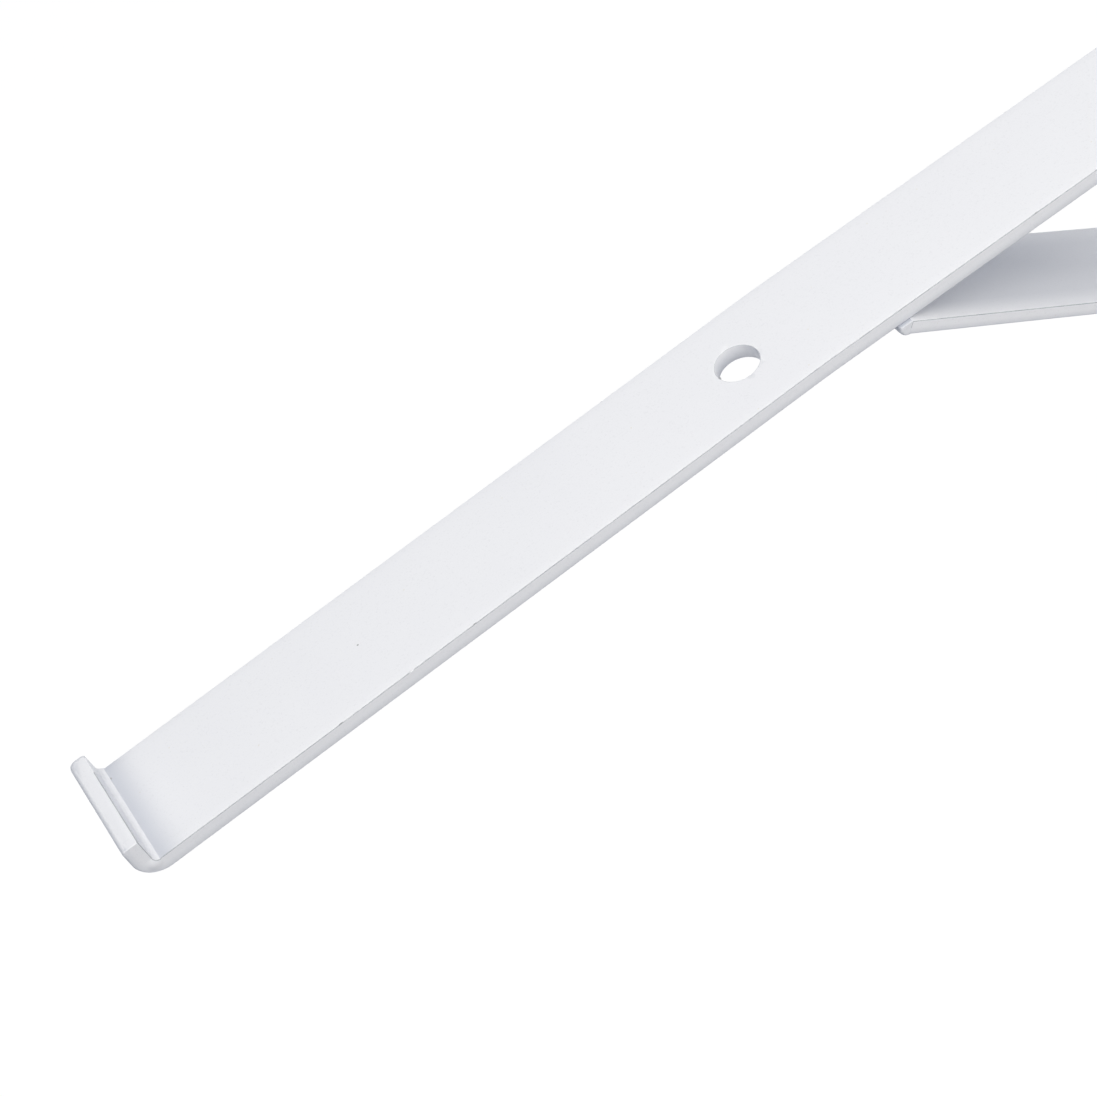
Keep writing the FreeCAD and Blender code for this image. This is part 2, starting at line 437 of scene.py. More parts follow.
@dataclass
class BarSection:
    """The section of a flat bar, as a closed loop of points (across, depth below the top).

    Args:
        width: of the bar.
        thickness: of the bar.
        sharp: radius left on the two top edges, which take the painted edge shade.
        rolled: radius of the two lower edges.
        pitch: spacing of the points across the flats.
        side_pitch: spacing of the points down the sides.
        corner_steps: points round each corner.
    """

    width: float
    thickness: float
    sharp: float
    rolled: float
    pitch: float = 2.0
    side_pitch: float = 0.5
    corner_steps: int = 6

    def loop(self) -> list[tuple[float, float, Zone, Flat]]:
        """The points in order, each with the zone and the flat of the face that starts there.

        Returns:
            A tuple of across, depth, zone and flat for each point.
        """
        half = self.width / 2
        low = self.thickness - self.rolled
        right = self._sharp_corner(half - self.sharp, 90, 0)
        right += self._flat((half, self.sharp), (half, low), Flat.SIDE)
        right += self._corner(half - self.rolled, low, self.rolled, 0, -90, Flat.UNDERSIDE)
        bottom = self._flat((half - self.rolled, self.thickness), (self.rolled - half, self.thickness),
                            Flat.UNDERSIDE)
        left = self._corner(self.rolled - half, low, self.rolled, 270, 180, Flat.UNDERSIDE)
        left += self._flat((-half, low), (-half, self.sharp), Flat.SIDE)
        left += self._sharp_corner(self.sharp - half, 180, 90)
        top = self._flat((self.sharp - half, 0.0), (half - self.sharp, 0.0), Flat.TOP)
        return right + bottom + left + top

    def _flat(self, start: tuple[float, float], end: tuple[float, float], flat: Flat) -> list:
        """The points of one flat, without its last.

        Args:
            start: across and depth of its first point.
            end: across and depth of its last point.
            flat: which flat it is.

        Returns:
            A tuple of across, depth, zone and flat for each point.
        """
        pitch = self.side_pitch if flat is Flat.SIDE else self.pitch
        count = max(1, round(math.dist(start, end) / pitch))
        return [
            (start[0] + (end[0] - start[0]) * k / count, start[1] + (end[1] - start[1]) * k / count,
             Zone.COAT, flat)
            for k in range(count)
        ]

    def _corner(self, across: float, depth: float, radius: float, start: float, end: float,
                flat: Flat) -> list:
        """The points of one rounded corner, without its last.

        Args:
            across: of the corner's centre.
            depth: of the corner's centre.
            radius: of the corner.
            start: the angle of its first point in degrees.
            end: the angle of its last point.
            flat: the flat that it is counted with.

        Returns:
            A tuple of across, depth, zone and flat for each point.
        """
        found = []
        for k in range(self.corner_steps):
            angle = math.radians(start + (end - start) * k / self.corner_steps)
            place = (across + radius * math.cos(angle), depth - radius * math.sin(angle))
            found.append((*place, Zone.COAT, flat))
        return found

    def _sharp_corner(self, across: float, start: float, end: float) -> list:
        """A sheared corner. It takes the painted edge shade only where it turns down to the side.

        Args:
            across: of the corner's centre.
            start: the angle of its first point in degrees.
            end: the angle of its last point.

        Returns:
            A tuple of across, depth, zone and flat for each point.
        """
        found = []
        corner = self._corner(across, self.sharp, self.sharp, start, end, Flat.TOP)
        turn = (end - start) / self.corner_steps
        for k, (x, depth, _, flat) in enumerate(corner):
            steep = abs(math.cos(math.radians(start + turn * (k + 0.5)))) > EDGE_SHADE_FROM
            found.append((x, depth, Zone.SHEARED_EDGE if steep else Zone.COAT, flat))
        return found


def put_in_scene(name: str, data: bpy.types.ID) -> bpy.types.Object:
    """A new object with this data, linked to the scene.

    Args:
        name: of the object.
        data: its mesh, light or camera.

    Returns:
        The object.
    """
    made = bpy.data.objects.new(name, data)
    bpy.context.scene.collection.objects.link(made)
    return made


def tube_faces(rings: int, around: int) -> list[list[int]]:
    """The faces of a closed tube: its sides, ring by ring, and then its first and its last cap.

    Args:
        rings: how many rings of points it has.
        around: how many points each ring has.

    Returns:
        The point numbers of each face.
    """
    faces = []
    for ring in range(rings - 1):
        a, b = ring * around, (ring + 1) * around
        for j in range(around):
            k = (j + 1) % around
            faces.append([a + j, b + j, b + k, a + k])
    faces.append(list(range(around)))
    faces.append([(rings - 1) * around + j for j in reversed(range(around))])
    return faces


def mesh_object(name: str, verts: np.ndarray, faces: list[list[int]],
                zones: list[Zone], materials: list[bpy.types.Material]) -> bpy.types.Object:
    """A new object from points in millimetres.

    Args:
        name: of the object and its mesh.
        verts: the points.
        faces: point numbers of each face.
        zones: the zone of each face.
        materials: one for each zone.

    Returns:
        The object, linked to the scene.
    """
    mesh = bpy.data.meshes.new(name)
    mesh.from_pydata((verts * MM).tolist(), [], faces)
    for material in materials:
        mesh.materials.append(material)
    mesh.polygons.foreach_set("material_index", [zone.value for zone in zones])
    outward = bmesh.new()
    outward.from_mesh(mesh)
    bmesh.ops.recalc_face_normals(outward, faces=outward.faces)
    outward.to_mesh(mesh)
    outward.free()
    return put_in_scene(name, mesh)


def points_of(piece: bpy.types.Object) -> np.ndarray:
    """The points of a piece in millimetres, one in each row.

    Args:
        piece: one with a mesh.

    Returns:
        An array of x, y and z.
    """
    places = np.empty(len(piece.data.vertices) * 3)
    piece.data.vertices.foreach_get("co", places)
    return places.reshape(-1, 3) / MM


def painted_shade_shares(piece: bpy.types.Object) -> np.ndarray:
    """The share of painted shade at each point of a piece.

    Args:
        piece: one that has been marked before.

    Returns:
        An array with one share for each point.
    """
    share = np.empty(len(piece.data.vertices))
    piece.data.attributes[PAINTED_SHADE].data.foreach_get("value", share)
    return share


def set_painted_shade_shares(piece: bpy.types.Object, share: np.ndarray) -> None:
    """Marks the share of painted shade at each point of a piece.

    Args:
        piece: one with a mesh.
        share: one for each point.
    """
    marks = piece.data.attributes
    mark = marks[PAINTED_SHADE] if PAINTED_SHADE in marks else marks.new(PAINTED_SHADE, "FLOAT", "POINT")
    mark.data.foreach_set("value", share)


def add_to_body(piece: bpy.types.Object, *nodes: str) -> None:
    """Makes a finished piece ride on the bracket and stand for its solids, which are hidden.

    Args:
        piece: what a build method returned.
        nodes: the solids that it stands for, if any.
    """
    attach(piece, BODY)
    if nodes:
        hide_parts(*nodes)
    triangles = sum(len(p.vertices) - 2 for p in piece.data.polygons)
    LOG.info("%s: %d triangles", piece.name, triangles)


@dataclass
class SheetOfStations:
    """A bar swept along its side line, as a grid of points that can be dented and swollen.

    Args:
        line: the stations along the bar.
        section: the loop of points round the bar.
        cut_line_on: the flat that takes a painted line of edge shade along the cut at the end of the run.
    """

    line: SideLine
    section: BarSection
    cut_line_on: Flat

    def __post_init__(self) -> None:
        """Makes the grid of coordinates: run, across and depth of each point."""
        loop = self.section.loop()
        self.loop_across = np.array([p[0] for p in loop])
        self.loop_depth = np.array([p[1] for p in loop])
        self.zones = [p[2] for p in loop]
        self.flats = np.array([p[3].value for p in loop])
        stations = len(self.line.points)
        self.run = np.repeat(self.line.runs[:, None], len(loop), 1)
        self.across = np.repeat(self.loop_across[None, :], stations, 0)
        self.depth = np.repeat(self.loop_depth[None, :], stations, 0)

    def place(self) -> np.ndarray:
        """The points in space, in station order."""
        side = self.line.points[:, None, :] - self.line.outward[:, None, :] * self.depth[:, :, None]
        return np.stack([side[:, :, 0], self.across, side[:, :, 1]], 2).reshape(-1, 3)

    def faces(self) -> tuple[list[list[int]], list[Zone]]:
        """The side faces and two end caps, and their zones.

        Returns:
            The point numbers of each face, and the zone of each face.
        """
        stations, around = self.run.shape
        zones = [self._zone(i, j) for i in range(stations - 1) for j in range(around)]
        return tube_faces(stations, around), zones + [Zone.COAT, Zone.COAT]

    def _zone(self, station: int, point: int) -> Zone:
        """The finish of a side face. The painted lines of edge shade fade before the far corner of the cut
        end.

        Args:
            station: where along the bar the face starts.
            point: where round the bar it starts.

        Returns:
            The zone of the face.
        """
        from_end = len(self.run) - 2 - station
        if from_end < CUT_END_ROWS and self.across[station, point] < CUT_LINE_END - self.section.width / 2:
            return Zone.COAT
        on_cut = from_end < CUT_LINE_ROWS and self.flats[point] == self.cut_line_on.value
        if on_cut and self.depth[station, point] < self.section.thickness / 2:
            return Zone.SHEARED_EDGE
        return self.zones[point]

    def mark_rolled(self, piece: bpy.types.Object) -> None:
        """Marks painted shade on the finished mesh, darker down the sides to the rolled lower edges.

        Args:
            piece: the mesh made from this grid.
        """
        outside = np.abs(self.loop_across) > self.section.width / 2 - self.section.rolled + TOUCH
        down = np.clip(2 * self.loop_depth / self.section.thickness - 1, 0, 1)
        share = np.where(outside, ROLLED_PAINTED_SHADE * down, 0.0)
        set_painted_shade_shares(piece, np.tile(share, len(self.run)))


@dataclass
class BentBar:
    """Lip, arm and wall leg: one flat bar, sheared, bent, punched and coated."""

    width: float = 30.0
    thickness: float = 4.0
    rolled_edge: float = 0.6
    sharp_edge: float = 0.2
    shelf_depth: float = 350.0  # wall to the inside of the lip, along the arm
    lip_height: float = 7.5  # above the arm's top face
    lip_bend: float = 1.2
    lip_stretch: float = 1.3  # that the fold's outside is rounder than the thickness makes it
    lip_far_corner: float = 1.5
    lip_near_corner: float = 0.2
    lip_tip_edge: float = 1.0  # radius of the outer edge of the lip's top
    far_tip_edges: tuple[float, float] = (0.8, 1.7)  # radii of the tip's far corner, inner and outer side
    far_tip_reach: float = 6.0  # from the tip to where those two run out
    fold_flattening: float = 0.55  # share of the way from the fold's arc to its chord
    shade_reach: float = 4.2  # behind the fold, over which the painted shade fades
    arm_shade: float = 0.8  # share of painted shade on the arm, close to the fold
    fold_shade: float = 0.06
    hole_shade: float = 1.0
    hole_shade_way: tuple[float, float, float] = (0.5, -0.87, 0.0)  # towards the part of the hole's wall that takes the painted shade
    tip_shade: float = 0.2
    leg_length: float = 220.0
    wall_bend: float = 4.0
    arm_top: float = 115.0
    dip_reach: float = 182.0  # wall to the place where the arm dips
    dip_angle: float = 1.75
    dip_bend: float = 300.0
    hole_past_dip: float = 12.0
    screw_height: float = 75.0
    hole_diameter: float = 10.0
    hole_rim: float = 0.08  # rounding where the punch went in
    hole_break: float = 0.3  # rounding where it came out
    hole_sides: int = 96
    lip_swell: float = 0.5  # of the squeezed metal, past each side of the bar
    wall_swell: float = 0.3
    swell_radius: float = 1.7  # of the swollen spot, as seen from the side
    step: float = 1.5

    def __post_init__(self) -> None:
        """Works out the directions and corners of the side view."""
        self.arm_out = turned(np.array([1.0, 0.0]), -math.radians(self.dip_angle))
        self.lip_up = left_of(self.arm_out)
        self.wall_corner = np.array([0.0, self.arm_top])
        self.dip_corner = np.array([self.dip_reach, self.arm_top])
        self.lip_corner = self.dip_corner + self.arm_out * (self.shelf_depth - self.dip_reach)
        self.lip_end = self.lip_corner + self.lip_up * self.lip_height

    def grid(self) -> SheetOfStations:
        """The bar before it is punched.

        Returns:
            The grid of its points.
        """
        line = SideLine(
            corners=[(0.0, self.arm_top - self.leg_length), tuple(self.wall_corner),
                     tuple(self.dip_corner), tuple(self.lip_corner), tuple(self.lip_end)],
            radii=[self.wall_bend + self.thickness, self.dip_bend, self.lip_bend],
            step=self.step,
            arc_steps=12,
        )
        section = BarSection(self.width, self.thickness, self.sharp_edge, self.rolled_edge)
        return SheetOfStations(line, section, Flat.TOP)

    def build(self, materials: list[bpy.types.Material]) -> bpy.types.Object:
        """Makes the bar.

        Args:
            materials: the coat and the sheared edge.

        Returns:
            The finished piece.
        """
        grid = self.grid()
        self._stretch_fold(grid)
        self._flatten_fold(grid)
        self._round_ends(grid)
        self._swell(grid)
        faces, zones = grid.faces()
        bar = mesh_object("bent_bar", grid.place(), faces, zones, materials)
        grid.mark_rolled(bar)
        self._punch(bar)
        self._paint_shade(bar)
        smooth_by_angle(bar)
        return bar

    def _stretch_fold(self, grid: SheetOfStations) -> None:
        """Rounds the outside of the lip's fold more than the bar's thickness alone would.

        Args:
            grid: the bar's points, which are moved.
        """
        radius = self.lip_bend + self.thickness + self.lip_stretch
        centre = self.lip_corner + (self.arm_out - self.lip_up) * (self.thickness - radius)
        for i, (top, outward) in enumerate(zip(grid.line.points, grid.line.outward)):
            corner_way = top - outward * self.thickness - centre
            if corner_way @ self.arm_out < 0 or corner_way @ self.lip_up > 0:
                continue
            ahead = float((top - centre) @ outward)
            reach = ahead + math.sqrt(ahead ** 2 - float((top - centre) @ (top - centre)) + radius ** 2)
            grid.depth[i] *= min(1.0, reach / self.thickness)

    def _flatten_fold(self, grid: SheetOfStations) -> None:
        """Fills the inside of the lip's fold a little, which leaves a crease along both its sides.

        Args:
            grid: the bar's points, which are moved.
        """
        turn = np.arctan2(-(grid.line.outward @ self.arm_out), grid.line.outward @ self.lip_up)
        turn = np.clip(turn, 0, math.pi / 2)
        chord = 1 - math.cos(math.pi / 4) / np.cos(turn - math.pi / 4)
        fill = self.fold_flattening * self.lip_bend * chord
        in_lip = grid.line.runs > grid.line.runs[-1] / 2
        on_top = grid.depth <= self.sharp_edge
        grid.depth -= np.where(on_top, np.where(in_lip, fill, 0.0)[:, None], 0.0)

    def _round_ends(self, grid: SheetOfStations) -> None:
        """Rounds the edges of the two cut ends: the lip's top and the foot of the leg.

        Args:
            grid: the bar's points, which are moved.
        """
        to_tip = grid.line.runs[-1] - grid.line.runs[:, None]
        to_foot = grid.line.runs[:, None]
        inner, outer = self.far_tip_edges
        near_tip = np.clip(1 - to_tip / self.far_tip_reach, 0, 1)
        upright = rounding(grid.depth, inner) + rounding(self.thickness - grid.depth, outer)
        far = rounding(to_tip, self.lip_far_corner) + near_tip * upright
        share = (grid.across / (self.width / 2)) ** 2
        near = rounding(to_tip, self.lip_near_corner)
        grid.across += share * np.where(grid.across < 0, far, -near)
        low = rounding(to_tip, self.lip_tip_edge) + rounding(to_foot, self.rolled_edge)
        high = rounding(to_tip, self.sharp_edge)
        grid.depth = high + grid.depth * (1 - (high + low) / self.thickness)

    def _paint_shade(self, bar: bpy.types.Object) -> None:
        """Marks painted shade: on the arm by the lip's fold, in the fold, in the holes and round the lip's
        tip.

        Args:
            bar: the punched bar.
        """
        places = points_of(bar)
        share = painted_shade_shares(bar)
        side = places[:, (0, 2)] - self.lip_corner
        ahead = side @ self.arm_out
        above = side @ self.lip_up
        # Painted shade on the arm beside the fold, in the fold and round the lip's tip.
        on_arm = (np.abs(above) < self.sharp_edge / 2) & (ahead < -self.lip_bend + self.sharp_edge / 2)
        behind = np.clip(-ahead - self.lip_bend, 0, None)
        share = np.where(on_arm, self.arm_shade * np.exp(-(behind / self.shade_reach) ** 2), share)
        to_inside = np.stack([-ahead, above])
        in_fold = (to_inside.min(0) > -TOUCH) & (to_inside.max(0) < self.lip_bend - self.sharp_edge / 2)
        share = np.where(in_fold, self.fold_shade, share)
        below_tip = self.lip_height - above
        outside = ahead > self.thickness - self.lip_tip_edge
        round_tip = outside & (below_tip > TOUCH) & (below_tip < self.lip_tip_edge)
        share = np.where(round_tip, self.tip_shade, share)
        for top, way in self._holes():
            share = self._shade_in_hole(places, share, top, way)
        set_painted_shade_shares(bar, share)

    def _shade_in_hole(self, places: np.ndarray, share: np.ndarray, top: np.ndarray,
                      way: np.ndarray) -> np.ndarray:
        """Adds the thin coat of a hole's far wall, which grows with the depth.

        Args:
            places: the points of the bar.
            share: the share of painted shade at each of them.
            top: where the hole's axis meets the top face, in the side view.
            way: the direction of the punch.

        Returns:
            The new shares.
        """
        radius = self.hole_diameter / 2
        from_top = places - np.array([top[0], 0.0, top[1]])
        axis = np.array([way[0], 0.0, way[1]])
        depth = from_top @ axis
        off_axis = np.linalg.norm(from_top - depth[:, None] * axis, axis=1)
        in_hole = (off_axis < radius + self.hole_break * 2) & (depth > self.hole_rim / 2)
        in_hole &= depth < self.thickness + self.sharp_edge
        far_wall = np.clip(from_top @ np.array(self.hole_shade_way) / radius, 0, 1)
        deep = self.hole_shade * far_wall * np.sqrt(np.clip(depth / self.thickness, 0, 1))
        return np.where(in_hole, deep, share)

    def _swell(self, grid: SheetOfStations) -> None:
        """Pushes out the sides of each fold where its inner metal was squeezed.

        Args:
            grid: the bar's points, which are moved.
        """
        place = grid.place().reshape(*grid.run.shape, 3)
        wall_inner = self.wall_corner + self.thickness * np.array([1.0, -1.0])
        folds = (
            (self.lip_corner, unit(self.arm_out - self.lip_up), self.lip_bend, self.lip_swell),
            (wall_inner, unit(np.array([-1.0, 1.0])), self.wall_bend, self.wall_swell),
        )
        for corner, inward, radius, bulge in folds:
            face = corner - inward * radius * (math.sqrt(2) - 1)
            middle = face + inward * self.swell_radius / 2
            away = np.linalg.norm(place[:, :, (0, 2)] - middle, axis=2)
            share = np.clip(1 - (away / self.swell_radius) ** 2, 0, 1)
            on_side = np.abs(grid.across) > self.width / 2 - self.rolled_edge
            grid.across += np.where(on_side, np.sign(grid.across) * share * bulge, 0.0)

    def _punch(self, bar: bpy.types.Object) -> None:
        """Cuts the three round holes."""
        for top, way in self._holes():
            self._cut(bar, self._punch_tool(top, way, list(bar.data.materials)))

    def _holes(self) -> list[tuple[np.ndarray, np.ndarray]]:
        """Where the axis of each hole meets the top face, and the way it was punched.

        Returns:
            The place and the direction of each hole, in the side view.
        """
        return [
            (self.dip_corner + self.arm_out * self.hole_past_dip, -self.lip_up),
            (np.array([0.0, self.screw_height]), np.array([1.0, 0.0])),
            (np.array([0.0, -self.screw_height]), np.array([1.0, 0.0])),
        ]

    def _punch_tool(self, top: np.ndarray, way: np.ndarray,
                    materials: list[bpy.types.Material]) -> bpy.types.Object:
        """The solid that a hole takes away, turned about the hole's axis.

        Args:
            top: where the axis meets the top face, in the side view.
            way: the direction of the punch.
            materials: the coat and the sheared edge.

        Returns:
            A closed solid of revolution.
        """
        inner = self.hole_diameter / 2
        rim = self.hole_rim
        flare = self.hole_break
        arc = 1 - math.cos(math.pi / 4)
        profile = [
            (inner + rim, -1.0),
            (inner + rim, 0.0),
            (inner + rim * arc, rim * arc),
            (inner, rim),
            (inner, self.thickness - flare),
            (inner + flare * arc, self.thickness - flare * arc),
            (inner + flare, self.thickness),
            (inner + flare, self.thickness + 1.0),
        ]
        axis = np.array([way[0], 0.0, way[1]])
        sideways = np.array([0.0, 1.0, 0.0])
        third = np.cross(axis, sideways)
        origin = np.array([top[0], 0.0, top[1]])
        verts = []
        for reach, depth in profile:
            for k in range(self.hole_sides):
                angle = math.tau * k / self.hole_sides
                spoke = sideways * math.cos(angle) + third * math.sin(angle)
                verts.append(origin + axis * depth + spoke * reach)
        # The ring where the punch went in takes the painted edge shade.
        zones = [Zone.SHEARED_EDGE if ring == 1 else Zone.COAT
                 for ring in range(len(profile) - 1) for _ in range(self.hole_sides)]
        return mesh_object("punch_tool", np.array(verts), tube_faces(len(profile), self.hole_sides),
                           zones + [Zone.COAT, Zone.COAT], materials)

    @staticmethod
    def _cut(bar: bpy.types.Object, tool: bpy.types.Object) -> None:
        """Takes the tool out of the bar and removes the tool.

        Args:
            bar: the piece that is cut.
            tool: a closed piece that crosses it.
        """
        cut = bar.modifiers.new("punch", "BOOLEAN")
        cut.operation = "DIFFERENCE"
        cut.solver = "EXACT"
        cut.object = tool
        apply_modifiers(bar)
        bpy.data.objects.remove(tool)


def rounding(from_end: np.ndarray, radius: float) -> np.ndarray:
    """How far a face draws in at this distance from an end whose edge has this radius."""
    inside = np.clip(radius - from_end, 0, radius)
    return radius - np.sqrt(radius ** 2 - inside ** 2)


def apply_modifiers(piece: bpy.types.Object) -> None:
    """Replaces a piece's mesh by what its modifiers make of it.

    Args:
        piece: one with modifiers, which it loses.
    """
    bpy.context.view_layer.update()
    evaluated = piece.evaluated_get(bpy.context.evaluated_depsgraph_get())
    made = bpy.data.meshes.new_from_object(evaluated)
    piece.modifiers.clear()
    piece.data = made
    made.name = piece.name


def smooth_by_angle(piece: bpy.types.Object, degrees: float = 32.0) -> None:
    """Shades a piece smooth, with a crease wherever two faces turn by more than this."""
    piece.data.shade_smooth()
    piece.data.set_sharp_from_angle(angle=math.radians(degrees))


@dataclass
class Brace:
    """The straight bar under the arm, cut square and welded at both ends."""

    width: float = 32.0
    thickness: float = 3.2
    rolled_edge: float = 0.5
    sharp_edge: float = 0.2
    reach: float = 160.5
    angle: float = 34.5
    arm_underside: float = 111.0
    wall_face: float = 4.0
    shade_reach: float = 80.0  # from the arm, over which the painted shade fades
    shade_margin: float = 4.5  # along each long edge, over which the painted shade grows
    unshaded_rim: float = 1.0  # along each long edge, with no painted shade
    corner_shade: float = 0.5  # share of painted shade in the corner under the arm

    def __post_init__(self) -> None:
        """Works out the brace's ends and directions in the side view."""
        self.out = turned(np.array([1.0, 0.0]), math.radians(self.angle))
        self.up = left_of(self.out)
        self.head = np.array([self.reach, self.arm_underside])
        length = (self.reach - self.wall_face) / math.cos(math.radians(self.angle))
        self.foot = self.head - self.out * length

    def build(self, materials: list[bpy.types.Material]) -> bpy.types.Object:
        """Makes the brace.

        Args:
            materials: the coat and the sheared edge.

        Returns:
            The finished piece.
        """
        line = SideLine([tuple(self.foot), tuple(self.head)], [], step=1.5, arc_steps=1)
        section = BarSection(self.width, self.thickness, self.sharp_edge, self.rolled_edge)
        grid = SheetOfStations(line, section, Flat.SIDE)
        faces, zones = grid.faces()
        brace = mesh_object("brace", grid.place(), faces, zones, materials)
        grid.mark_rolled(brace)
        self._paint_shade(brace)
        smooth_by_angle(brace)
        return brace

    def _paint_shade(self, brace: bpy.types.Object) -> None:
        """Marks painted shade on the upper face, near the arm and away from its long edges.

        Args:
            brace: the mesh of the brace.
        """
        places = points_of(brace)
        side = places[:, (0, 2)] - self.head
        on_top = side @ self.up > -self.sharp_edge / 2
        from_edge = self.width / 2 - np.abs(places[:, 1])
        corner = self.corner_shade * np.exp(-((side @ self.out) / self.shade_reach) ** 2)
        corner *= np.clip((from_edge - self.unshaded_rim) / self.shade_margin, 0, 1)
        set_painted_shade_shares(brace, np.where(on_top, corner, painted_shade_shares(brace)))


@dataclass
class WeldBead:
    """A round bead across one end of the brace, rippled by the torch and softened by the coat.

    It lies in the corner under a plate and takes painted shade, which is lighter at its two ends.

    Args:
        name: of the piece.
        node: the solid that it stands for.
        corner: where the brace's upper face meets the plate, in the side view.
        along_plate: the way along the plate, from the corner under the bead.
        along_brace: the way from this end of the brace to its middle.
        brace: the bar that it holds.
    """

    name: str
    node: str
    corner: np.ndarray
    along_plate: np.ndarray
    along_brace: np.ndarray
    brace: Brace
    cover: float = 0.45  # over the lower face of the brace
    ahead: float = 0.5  # of the brace's end to the middle of the round bead
    inset: float = 0.05  # from the sides of the brace
    end_radius: float = 0.7
    ripple_pitch: float = 1.7
    ripple_height: float = 0.05
    ripple_drift: float = 0.6  # unevenness of the ripples' pitch, as a share of it
    drift_size: float = 7.0
    wander_share: float = 0.6  # unevenness of their height, as a share of it
    wander_size: float = 5.0
    middle_shade: float = 0.9
    end_shade: float = 0.2
    crease_angle: float = 40.0
    steps: int = 24
    end_steps: int = 7
    spacing: float = 0.22
    seed: float = 3.0

    def build(self, materials: list[bpy.types.Material]) -> bpy.types.Object:
        """Makes the bead.

        Args:
            materials: the coat and the sheared edge.

        Returns:
            The finished piece.
        """
        half_width = self.brace.width / 2 - self.inset
        offsets = self._stations(half_width)
        verts: list[np.ndarray] = []
        for across in offsets:
            draw_in = float(rounding(np.array(half_width - abs(across)), self.end_radius))
            for side in self._section(draw_in, self._ripple(across)):
                verts.append(np.array([side[0], across, side[1]]))
        faces = tube_faces(len(offsets), len(verts) // len(offsets))
        bead = mesh_object(self.name, np.array(verts), faces, [Zone.COAT] * len(faces), materials)
        # Painted shade on the bead, lighter towards its two ends.
        inward = np.minimum(1.0, (half_width - np.abs(points_of(bead)[:, 1])) / self.end_radius)
        set_painted_shade_shares(bead, self.end_shade + (self.middle_shade - self.end_shade) * inward)
        smooth_by_angle(bead, self.crease_angle)
        return bead

    def _section(self, draw_in: float, swell: float) -> list[np.ndarray]:
        """The bead's outline in the side view at one place across it.

        Args:
            draw_in: how much less its radius is there, near its rounded end.
            swell: how far its crown stands out there.

        Returns:
            The arc from the plate to the brace, then the brace's end back to the plate.
        """
        half_thick = self.brace.thickness / 2
        radius = half_thick + self.cover - draw_in
        ahead = -self.along_brace
        middle = self.corner - self.brace.up * half_thick + ahead * self.ahead
        over_plate = self.corner + self.along_plate * float((middle - self.corner) @ self.along_plate)
        to_plate = float(np.linalg.norm(middle - over_plate))
        plate_toe = over_plate + self.along_plate * math.sqrt(radius ** 2 - to_plate ** 2)
        if radius > math.hypot(half_thick, self.ahead):
            brace_toe = middle - self.brace.up * half_thick - ahead * math.sqrt(
                radius ** 2 - half_thick ** 2)
            low_corner = self.corner - self.brace.up * self.brace.thickness
        else:
            low = math.sqrt(radius ** 2 - self.ahead ** 2)
            brace_toe = middle - self.brace.up * low - ahead * self.ahead
            low_corner = brace_toe + self.brace.up * self.inset
        start = math.atan2(*(plate_toe - middle)[::-1])
        end = math.atan2(*(brace_toe - middle)[::-1])
        sweep = self._sweep(start, end, math.atan2(*(middle - self.corner)[::-1]))
        outline = []
        for k in range(self.steps + 1):
            share = k / self.steps
            angle = start + sweep * share
            reach = radius + swell * math.sin(math.pi * share)
            outline.append(middle + reach * np.array([math.cos(angle), math.sin(angle)]))
        return [*outline, low_corner, self.corner]

    @staticmethod
    def _sweep(start: float, end: float, crown: float) -> float:
        """The signed turn from start to end that passes the crown."""
        forward = (end - start) % math.tau
        return forward if (crown - start) % math.tau < forward else forward - math.tau

    def _stations(self, half_width: float) -> list[float]:
        """Places across the bead, closer together at its rounded ends.

        Args:
            half_width: from the middle of the bead to its end.

        Returns:
            The places in order.
        """
        round_end = [self.end_radius * (1 - math.cos(math.pi / 2 * k / self.end_steps))
                     for k in range(self.end_steps)]
        straight = half_width - self.end_radius
        count = round(2 * straight / self.spacing)
        body = [-straight + 2 * straight * k / count for k in range(count + 1)]
        return [r - half_width for r in round_end] + body + [half_width - r for r in reversed(round_end)]

    def _ripple(self, across: float) -> float:
        """How far the bead's crown stands out at one place across it.

        Args:
            across: from the middle of the bead.

        Returns:
            A distance, which is negative below the solid's crown.
        """
        wander = noise.noise(Vector((across / self.wander_size, self.seed, 0.0)))
        drift = noise.noise(Vector((across / self.drift_size, 0.0, self.seed)))
        phase = across / self.ripple_pitch + self.ripple_drift * drift
        hollow = 0.5 + 0.5 * math.cos(math.tau * phase)
        return -self.ripple_height * (hollow + self.wander_share * abs(wander))


@dataclass(frozen=True)
class Spot:
    """A speck, nib or nick in the coat of the arm's top.

    Args:
        run: how far in front of the dip's corner it is, along the arm. Behind it is negative.
        across: from the middle of the bar.
        reach: its half sizes along, across and above the top.
        dark: whether it is dust or bare steel, and not white powder.
    """

    run: float
    across: float
    reach: tuple[float, float, float]
    dark: bool = True


